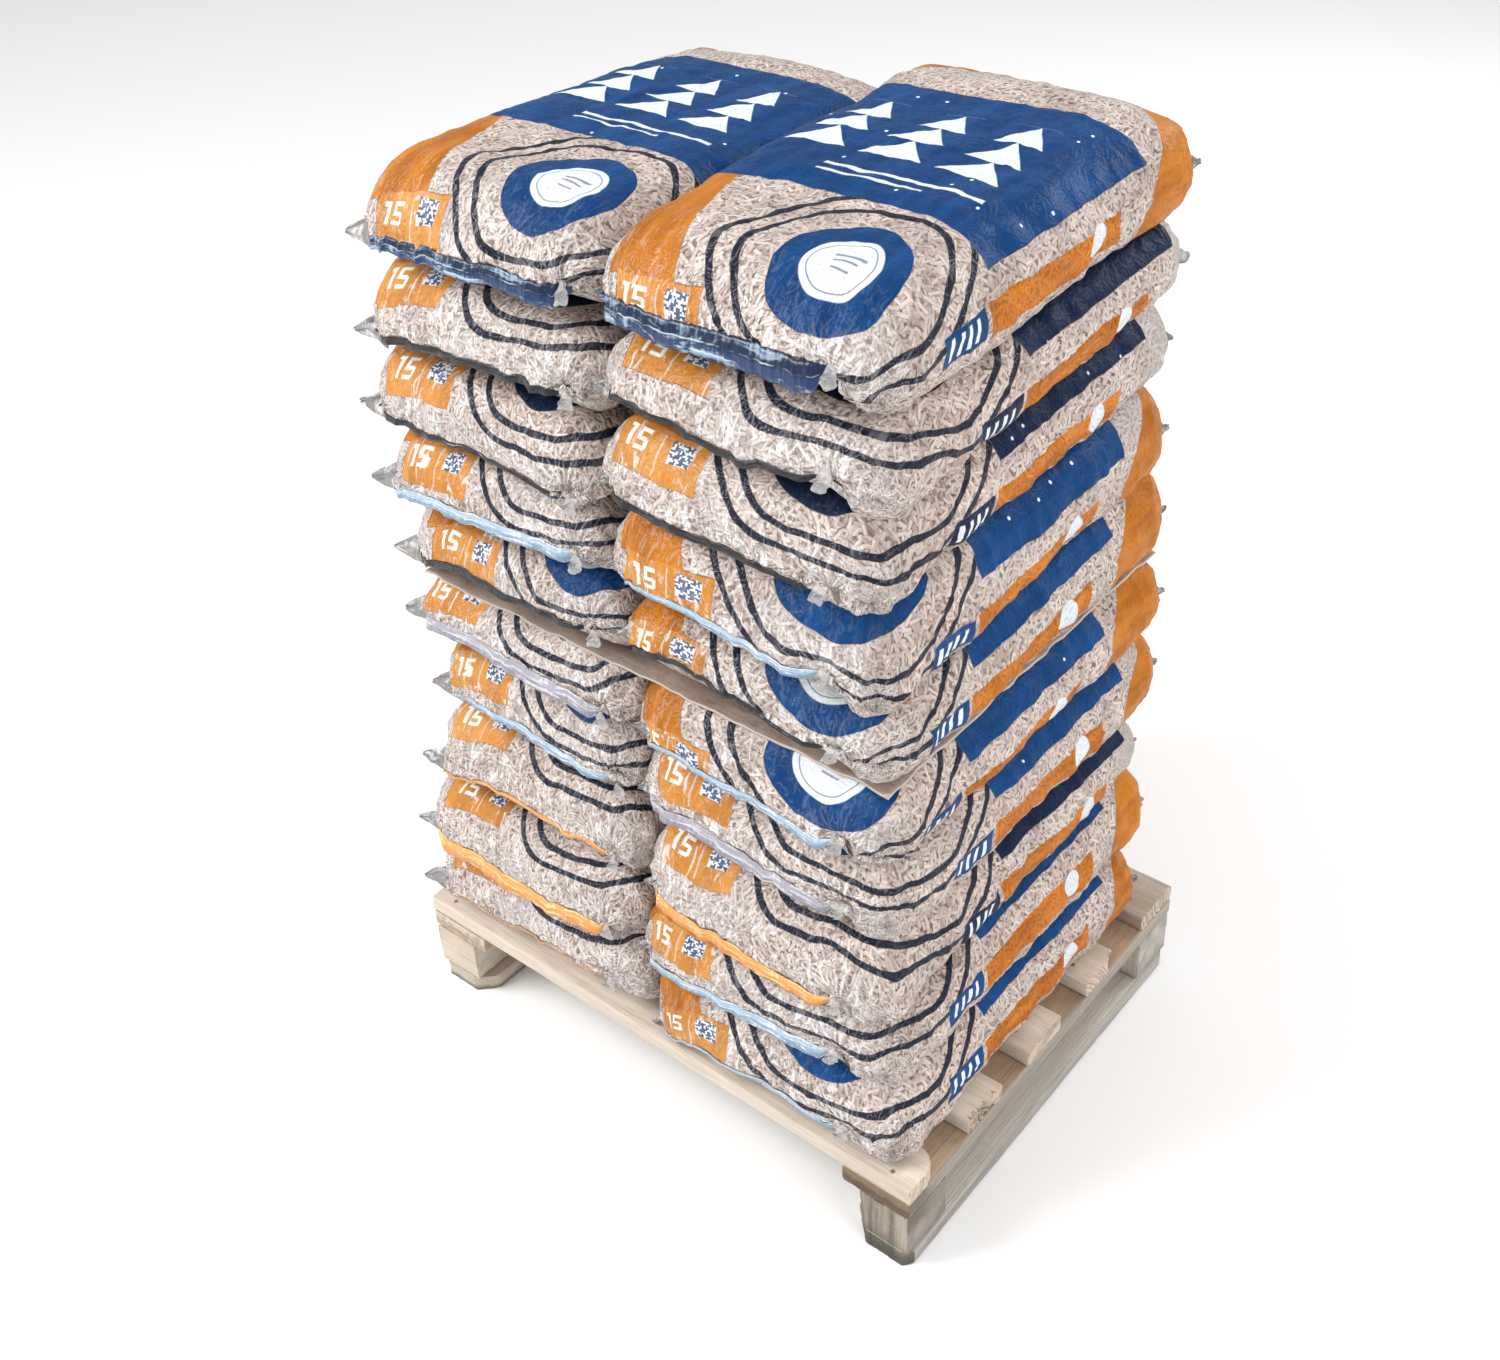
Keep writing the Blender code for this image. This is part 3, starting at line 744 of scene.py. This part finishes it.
# Folded seams by kind: colour and painted highlight colour, then where given the tone of the lower part and the colour
# of the thin lines, and other values
FLAPS = {name: flap_material(name, *colours, **values) for name, colours, values in (
    ("navy", ((0.006, 0.018, 0.055), (0.34, 0.46, 0.58), (0.01, 0.036, 0.11), (0.62, 0.68, 0.72)),
     dict(patch=(4.5, 1.1))),
    ("pale", ((0.36, 0.48, 0.6), (0.78, 0.84, 0.88), (0.2, 0.29, 0.4), (0.08, 0.12, 0.2)), {}),
    # Painted shade: the dark seam is a navy seam in shadow, painted near black
    ("dark", ((0.007, 0.006, 0.009), (0.07, 0.06, 0.07)), dict(share=0.3)),
    ("grey", ((0.34, 0.33, 0.38), (0.66, 0.65, 0.68), (0.25, 0.24, 0.29), (0.7, 0.69, 0.72)), {}),
    ("orange", ((0.76, 0.34, 0.08), (0.92, 0.66, 0.36), (0.66, 0.24, 0.04), (0.42, 0.14, 0.02)), {}),
    ("clear", ((0.72, 0.69, 0.68), (0.94, 0.94, 0.94)), dict(alpha=0.42, share=0.8)),
    ("ear", ((0.3, 0.28, 0.272), (0.72, 0.72, 0.72)), dict(alpha=0.8, share=0.6)),
    ("edge", ((0.42, 0.22, 0.1), (0.8, 0.66, 0.52)), {}),
)}


# --- flaps
def film_sheet(name, grid, uv, kind, thickness=0.0008):
    obj = shell(name, grid, uv, thickness, FLAPS[kind])
    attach(obj, BODY)


def over_plane(*values):
    return np.stack(np.broadcast_arrays(*values), -1)


def seam_line(edge, low, high, count):
    """x, y and z of a sack's edge in even steps, between two values of x. Each is one row."""
    line = edge[(edge[:, 0] > low) & (edge[:, 0] < high)]
    spots = np.linspace(line[0, 0], line[-1, 0], count)
    return [spots[None, :]] + [np.interp(spots, line[:, 0], line[:, axis])[None, :] for axis in (1, 2)]


def build_flap(sack, edge):
    """The folded seam: a narrow strip that hangs from the left corner to the knot, over the sack below. Gives its upper
    end at the knot."""
    seed = sack.seed + 900
    knot_x = (sack.x0 + sack.x1) / 2 + sack.knot
    x, y_seam, z_seam = seam_line(edge, sack.x0 + 0.012, knot_x - 0.002, 104)
    share = (x - x[0, 0]) / (x[0, -1] - x[0, 0])
    t = np.linspace(0, 1, 7)[:, None]
    taper = (0.25 + 0.75 * smooth(share, 1, 0.94)) * (0.35 + 0.65 * smooth(share, 0, 0.05))
    width = np.interp(share, (0, 0.5, 1), sack.flap_widths) * (1 + 0.1 * noise(share * 6, 3, seed)) * taper
    drop = t * width
    wave = 0.0009 * t * noise(share * 22, t * 2, seed + 2) + 0.0002 * t * noise(share * 70, t * 3, seed + 4)
    z = z_seam + 0.0006 - drop * 0.9 + 0.0006 * t * noise(share * 14, t * 2, seed + 3)
    y = y_seam - 0.0012 - drop * 0.3 * (1 - 0.5 * t) + wave
    if sack.number > 1:
        y = np.minimum(y, Sack(sack.side, sack.number - 1).near_face(x, z) - 0.003)
    else:
        z = np.maximum(z, DECK_TOP + OVER_DECK)
    grid = over_plane(x, y, z)
    film_sheet(f"{sack.name}_seam", grid, over_plane(share, t), sack.flap, 0.0009)
    return grid[0, -1]


def build_knot(sack, place):
    """The gathered end of the seam: a small crumpled fan of clear film."""
    seed = sack.seed + 950
    r = np.linspace(0.0015, 1, 7)[:, None]
    angle = np.linspace(radians(-118), radians(72), 22)[None, :]
    reach = 0.015 * (1 + 0.2 * noise(angle * 2, 1, seed))
    x = place[0] + r * reach * np.cos(angle)
    z = place[2] + r * reach * np.sin(angle) * 0.9
    face = sack.near_face(x, z)
    if sack.number > 1:
        below = Sack(sack.side, sack.number - 1).near_face(x, z)
        face = np.where(z < place[2], np.minimum(face, below), face)
    else:
        z = np.maximum(z, DECK_TOP + OVER_DECK)
    fold = ridges(angle * 3.4, r * 1.5 + 3, seed + 1)
    y = face - 0.0035 - 0.0045 * fold * (1 - 0.4 * r) - 0.003 * (1 - r)
    film_sheet(f"{sack.name}_knot", over_plane(x, y, z), over_plane(angle / 3, r), "clear")


def build_far_seam(sack, edge):
    """The welded seam at the far end: a narrow wavy fin of film that hangs over the lower half."""
    seed = sack.seed + 970
    x, y_seam, z_seam = seam_line(edge, sack.x0 + 0.03, sack.x1 - 0.03, 64)
    share = np.linspace(0, 1, 64)[None, :]
    t = np.linspace(0, 1, 4)[:, None]
    taper = 0.3 + 0.7 * smooth(np.minimum(share, 1 - share), 0, 0.06)
    width = 0.0095 * (1 + 0.25 * noise(share * 7, 2, seed)) * taper
    y = y_seam + 0.0012 + 0.0018 * t + 0.0012 * t * noise(share * 30, t * 2, seed + 1)
    z = np.maximum(z_seam + 0.001 - t * width, sack.low.min() + 0.002)
    grid = over_plane(x, np.minimum(y, sack.y1 + 0.0045), z)
    film_sheet(f"{sack.name}_far_seam", grid[:, ::-1], over_plane(share, t), "orange" if sack.film == "a" else "ear")


def build_ear(name, corner, reach, height, seed):
    """A crumpled tip of clear film at a sack's corner."""
    t = np.linspace(0, 1, 9)[None, :]
    up = np.linspace(-1, 1, 9)[:, None]
    half = height * (1 - t) ** 0.85 + 0.0022
    side = np.cross(reach, UP)
    side /= np.linalg.norm(side)
    crumple = (0.005 * (1 - 0.6 * t) * noise(t * 2.5, up * 1.8, seed) + 0.0022 * noise(t * 5, up * 4, seed + 1)
               + 0.0045 * up * (1 - t))
    rise = up * half + 0.003 * t * noise(t * 2, 1, seed + 2)
    grid = corner + t[..., None] * np.array(reach) + crumple[..., None] * side + rise[..., None] * np.array(UP)
    film_sheet(name, grid, over_plane(t, up) * 0.25 + seed, "ear")


for number in range(1, len(LAYERS) + 1):
    for side in (LEFT, RIGHT):
        sack = Sack(side, number)
        up = build_sack(sack, FILMS[sack.film])
        build_knot(sack, build_flap(sack, up[0]))
        seed = sack.seed + 300
        rng = np.random.default_rng(seed)
        if side == LEFT:
            reach, height = (-0.043 - 0.006 * rng.random(), -0.012, -0.002 - 0.007 * rng.random()), 0.02
            far, out = up[-2, 1], -0.01
        else:
            reach, height = (-0.021 - 0.004 * rng.random(), -0.009, -0.004), 0.01
            far, out = up[-2, -2], 0.01
        build_ear(f"{sack.name}_near_tip", up[1, 1] + np.array((0.008, 0.005, 0)), reach, height, seed)
        build_far_seam(sack, up[-1])
        build_ear(f"{sack.name}_far_tip", far - np.array((out * 0.3, 0.004, 0)), (out, 0.012, 0), 0.01, seed + 7)


# --- cardboard
def build_cardboard(material):
    """The slip sheet: flat between the sacks, drooping and a little wavy where its edges stick out."""
    (x0, y0, z0), (x1, y1, z1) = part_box("slip_sheet")
    X, Y = np.meshgrid(np.linspace(x0, x1, 96), np.linspace(y0, y1, 74))
    free = np.maximum(smooth(-Y, -(y0 + 0.02), -y0), smooth(X, x1 - 0.02, x1))
    free = np.maximum(free, smooth(-X, -(x0 + 0.026), -x0))
    edge = np.minimum(np.minimum(X - x0, x1 - X), np.minimum(Y - y0, y1 - Y))
    waves = 0.0022 * noise(X / 0.05, Y / 0.05, 71) + 0.0008 * noise(X / 0.015, Y / 0.02, 72)
    Z = (z0 + z1) / 2 - 0.0042 * free + free * waves
    # A ragged outline
    pull = 0.0035 * noise((X + Y) / 0.035, (X - Y) / 0.035, 73) * smooth(edge, RAGGED_WIDTH, 0)
    ragged_y = Y + pull * (np.abs(Y - y0) < RAGGED_WIDTH) - pull * (np.abs(Y - y1) < RAGGED_WIDTH)
    ragged_x = X - pull * (np.abs(X - x1) < RAGGED_WIDTH)
    grid = np.stack([np.clip(ragged_x, x0, x1), np.clip(ragged_y, y0, y1), Z], -1)
    obj = shell("slip_sheet_board", grid, np.stack([edge, X + Y], -1), 0.0027, material)
    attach(obj, BODY)
    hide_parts("slip_sheet")


build_cardboard(cardboard_material())


# --- pallet
EDGE_ROUND, END_EASE = 0.003, 0.0012
STEP_ALONG, STEP_ROUND = 0.008, 0.0028
SPLINTERED_LENGTH = 0.055
SHARP_ANGLE = radians(40)


def ring_points(half_a, half_b):
    """Points round a board's section, finely, with eased corners, and how far along the outline each is."""
    points = []
    for start, (sa, sb) in enumerate(((1, 1), (-1, 1), (-1, -1), (1, -1))):
        centre = np.array((sa * (half_a - EDGE_ROUND), sb * (half_b - EDGE_ROUND)))
        turns = np.linspace(0, pi / 2, 4) + start * pi / 2
        points += [centre + EDGE_ROUND * np.array((np.cos(t), np.sin(t))) for t in turns]
        half, step = (half_a, (-sa, 0)) if start % 2 == 0 else (half_b, (0, -sb))
        length = 2 * (half - EDGE_ROUND)
        count = max(1, round(length / STEP_ROUND))
        points += [points[-1] + np.array(step) * length * k / count for k in range(1, count)]
    points = np.array(points)
    return points, np.concatenate([[0], np.cumsum(np.hypot(*np.diff(points, axis=0).T))])


def timber(node, axis, seed, materials, cut=None, relief=0.0005, wave=0.0006, bark=0):
    """A sawn board in the place of a CAD solid: eased edges, grain relief and rough ends. materials: of the sides and
    of the ends. cut gives how far each end is cut back, from the sign of the end and the place in its section. bark:
    how deep the rough side is, at low x."""
    low, high = (np.array(corner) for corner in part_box(node))
    a, b = (i for i in range(3) if i != axis)
    middle, half = (low + high) / 2, (high - low) / 2
    section, P = ring_points(half[a], half[b])
    count = len(section)
    # From the middle of one end over the sides to the middle of the other: place along, share of the section
    caps = np.linspace(0.06, 0.94, 8)
    inner = np.linspace(-half[axis] + END_EASE, half[axis] - END_EASE, round(half[axis] * 2 / STEP_ALONG))
    L = np.concatenate([np.full(len(caps), -half[axis]), inner, np.full(len(caps), half[axis])])[:, None]
    S = np.concatenate([caps, np.ones(len(inner)), caps[::-1]])[:, None]
    is_cap = S < 1
    A, B = section[:, 0] * S, section[:, 1] * S

    def depth(amount, x, y, seed):
        return amount * (0.5 + 0.5 * noise(x, y, seed))

    worn = (depth(relief, L / 0.1, P / 0.0045, seed) + depth(wave, L / 0.22, P / 0.06, seed + 1)
            + depth(0.5 * relief, L / 0.018, P / 0.011, seed + 2)) * ~is_cap
    bark_depth = depth(bark * smooth(-A, half[a] * 0.2, half[a]), B / 0.017, L / 0.05, seed + 4)
    back = (0.0006 + 0.0006 * noise(A / 0.004, B / 0.004, seed + 3)) * is_cap
    near_end = smooth(np.abs(L), half[axis] - SPLINTERED_LENGTH, half[axis])
    if cut:
        for sign in (-1, 1):
            back = back + np.where(np.sign(L) == sign, cut(sign, A, B, half[a]) * near_end, 0)
    grid = np.zeros((*A.shape, 3))
    grid[..., axis] = middle[axis] + (L - np.sign(L) * back)
    grid[..., a] = middle[a] + (A * (1 - worn / half[a]) + bark_depth)
    grid[..., b] = middle[b] + B * (1 - worn / half[b])
    points = grid.reshape(-1, 3)
    index = np.arange(len(points)).reshape(A.shape)
    around = np.concatenate([index, index[:, :1]], 1)
    first, last = np.full(count, len(points)), np.full(count, len(points) + 1)
    faces = [quads(around).reshape(-1, 4), np.stack([first, around[0, 1:], index[0]], -1),
             np.stack([last, index[-1], around[-1, 1:]], -1)]
    if axis == 1:
        faces = [part[:, ::-1] for part in faces]
    centres = [points[row].mean(0) for row in (index[0], index[-1])]
    mesh = bpy.data.meshes.new(node + "_timber")
    mesh.from_pydata(np.concatenate([points, centres]).tolist(), [], [face for part in faces for face in part.tolist()])
    for material in materials:
        mesh.materials.append(material)
    is_end = np.concatenate([np.repeat(is_cap[:-1] | is_cap[1:], count), np.ones(2 * count, bool)])
    mesh.polygons.foreach_set("material_index", is_end.astype(np.int32))
    mesh.polygons.foreach_set("use_smooth", np.ones(len(is_end), bool))
    mesh.validate()
    mesh.set_sharp_from_angle(angle=SHARP_ANGLE)
    obj = add_object(node + "_timber", mesh)
    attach(obj, BODY)
    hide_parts(node)


def rounded_end(radius):
    """A cut that rounds one corner of the right end in plan, and the left end's a little."""
    def cut(sign, a, b, half_a):
        past = np.clip(a - (half_a - radius), 0, radius)
        return (radius - np.sqrt(radius ** 2 - past ** 2)) * (1 if sign > 0 else 0.25)
    return cut


def ragged_end(depth, width, seed, share=1):
    """A cut with torn fibres, over part of the board's width, that is less deep at the left end."""
    def cut(sign, a, b, half_a):
        teeth = np.abs(noise(a / width, b / 0.02, seed)) ** 0.8 * smooth(-a, -half_a * share, half_a * (0.2 - share))
        return (depth if sign > 0 else 0.2 * depth) * teeth
    return cut


def chipped_end(depth, seed):
    """A cut with one corner of the right end broken off."""
    def cut(sign, a, b, half_a):
        chip = smooth(a, half_a - 0.02, half_a - 0.008) * (0.7 + 0.3 * noise(a / 0.004, b / 0.01, seed))
        return depth * chip * (sign > 0)
    return cut


def sawn_corners(outer_sign, inner_cut, outer_cut):
    """Bottom boards: the corners of both ends are sawn off, more towards the fork gap."""
    def cut(sign, a, b, half_a):
        outside = np.clip(a * outer_sign - (half_a - outer_cut), 0, None)
        inside = np.clip(-a * outer_sign - (half_a - inner_cut), 0, None)
        return outside + inside
    return cut


CREAM, CREAM_DARK = (0.7, 0.61, 0.52), (0.5, 0.415, 0.335)
END_CREAM = end_grain_material("end_grain_cream", (0.62, 0.52, 0.42), (0.4, 0.32, 0.245))
END_BROWN = end_grain_material("end_grain_brown", (0.23, 0.165, 0.11), (0.12, 0.085, 0.058))
# Deck boards from the near one: how light each is, and how its ends are broken
DECK = (
    (1, rounded_end(0.03)),
    (1.04, ragged_end(0.009, 0.0026, 41, share=0.7)),
    (1.06, None),
    (0.95, chipped_end(0.012, 43)),
    (0.72, ragged_end(0.0035, 0.0042, 44)),
)
for number, (shade, cut) in enumerate(DECK, 1):
    node = f"deck_board_{number}"
    low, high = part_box(node)
    material = wood_material(f"deck_wood_{number}", 0, times(CREAM, shade), times(CREAM_DARK, shade),
                             0.1 + 0.06 * number, nails=(low[1] + high[1]) / 2, seed=number * 3.7)
    timber(node, 0, 100 + 10 * number, (material, END_CREAM), cut)
# The other timber: axis of the grain, light and dark colour, how strong the grain is, and the rest
WOOD = {name: wood_material(name, *values, **others) for name, values, others in (
    ("stringer_wood_left", (1, (0.5, 0.37, 0.25), (0.32, 0.225, 0.145), 0.5),
     dict(side=(0.52, 0.45, 0.37), seed=6)),
    ("stringer_wood_right", (1, (0.56, 0.41, 0.27), (0.36, 0.245, 0.155), 0.5),
     dict(side=(0.385, 0.345, 0.295), seed=5)),
    ("bottom_wood_left", (1, (0.6, 0.52, 0.43), (0.36, 0.3, 0.235), 0.4),
     dict(side=(0.56, 0.49, 0.41), foot=(0.15, 0.13, 0.105), reach=0.013, seed=8)),
    # Painted light: the right bottom board is painted lighter, for the light that reaches its top through the fork gap
    ("bottom_wood_right", (1, (0.64, 0.6, 0.545), (0.52, 0.48, 0.425), 0.3),
     dict(side=(0.43, 0.4, 0.36), foot=(0.14, 0.135, 0.11), reach=0.006, seed=9)),
    ("block_wood_near_right", (2, (0.52, 0.45, 0.365), (0.165, 0.135, 0.102), 0.75),
     dict(side=(0.33, 0.305, 0.265), foot=(0.11, 0.107, 0.086), seed=2)),
    ("block_wood_near_left", (0, (0.69, 0.6, 0.5), (0.48, 0.395, 0.305), 0.3),
     dict(side=(0.56, 0.51, 0.44), foot=(0.2, 0.175, 0.14), reach=0.012, seed=3)),
    ("block_wood_far", (2, (0.6, 0.56, 0.48), (0.38, 0.34, 0.28), 0.5),
     dict(side=(0.47, 0.44, 0.39), foot=(0.2, 0.195, 0.16), seed=4)),
)}
for side, sign, end_grain in ((LEFT, -1, END_CREAM), (RIGHT, 1, END_BROWN)):
    near_wood, far_wood = WOOD[f"block_wood_near_{side}"], WOOD["block_wood_far"]
    timber(f"stringer_board_{side}", 1, 200 + sign, (WOOD[f"stringer_wood_{side}"], end_grain))
    timber(f"bottom_board_{side}", 1, 220 + sign, (WOOD[f"bottom_wood_{side}"], near_wood),
           sawn_corners(sign, 0.024, 0.011))
    for end, wood in (("near", near_wood), ("far", far_wood)):
        bark = 0.0095 if (side, end) == (RIGHT, "near") else 0
        timber(f"block_{end}_{side}", 1, 240 + 7 * sign + len(end), (wood, wood), None, 0.0012,
               0.0022, bark)

# --- floor, light and camera
FLOOR_HALF = 30
plain = Shade("floor")
plain.set(Base_Color=(0.94, 0.94, 0.94), Roughness=0.9)
floor_points = [(x * FLOOR_HALF, y * FLOOR_HALF, 0) for x, y in ((-1, -1), (1, -1), (1, 1), (-1, 1))]
make_mesh("floor", floor_points, np.array([[0, 1, 2, 3]]), {}, plain.material)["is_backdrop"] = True

scene = bpy.context.scene
scene.world = bpy.data.worlds.new("studio")
scene.world.use_nodes = True
background = scene.world.node_tree.nodes["Background"].inputs
background["Color"].default_value = (1, 1, 1, 1)
background["Strength"].default_value = 0.66

# Lamps: place, the height they point at over the middle, size, power
for name, place, target_z, size, power in (
    ("key", (-2.2, -2.6, 3.6), 0.6, (2, 2), 180),
    ("back", (1.2, 3.4, 2.6), 0.6, (2.4, 2), 75),
    ("fill", (3.2, -0.8, 2), 0.5, (2, 2), 46),
):
    lamp = bpy.data.lights.new(name, "AREA")
    lamp.shape = "RECTANGLE"
    lamp.size, lamp.size_y = size
    lamp.energy = power
    obj = add_object(name, lamp)
    obj.location = place
    direction = Vector(np.array((0, 0, target_z)) - np.array(place))
    obj.rotation_euler = direction.to_track_quat("-Z", "Y").to_euler()

lens = bpy.data.cameras.new("camera")
lens.sensor_width = 36
lens.lens = 43.3
lens.shift_x, lens.shift_y = -0.0413, -0.07
lens.clip_end = 200
scene.camera = add_object("camera", lens)
scene.camera.location = (1.1406, -1.36513, 1.88845)
scene.camera.rotation_euler = (radians(55.454), radians(1.5071), radians(37.8912))
scene.view_settings.view_transform = "Standard"

size = {"load": [list(corner) for corner in bounds_at_load], "finish": [list(corner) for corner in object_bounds()]}
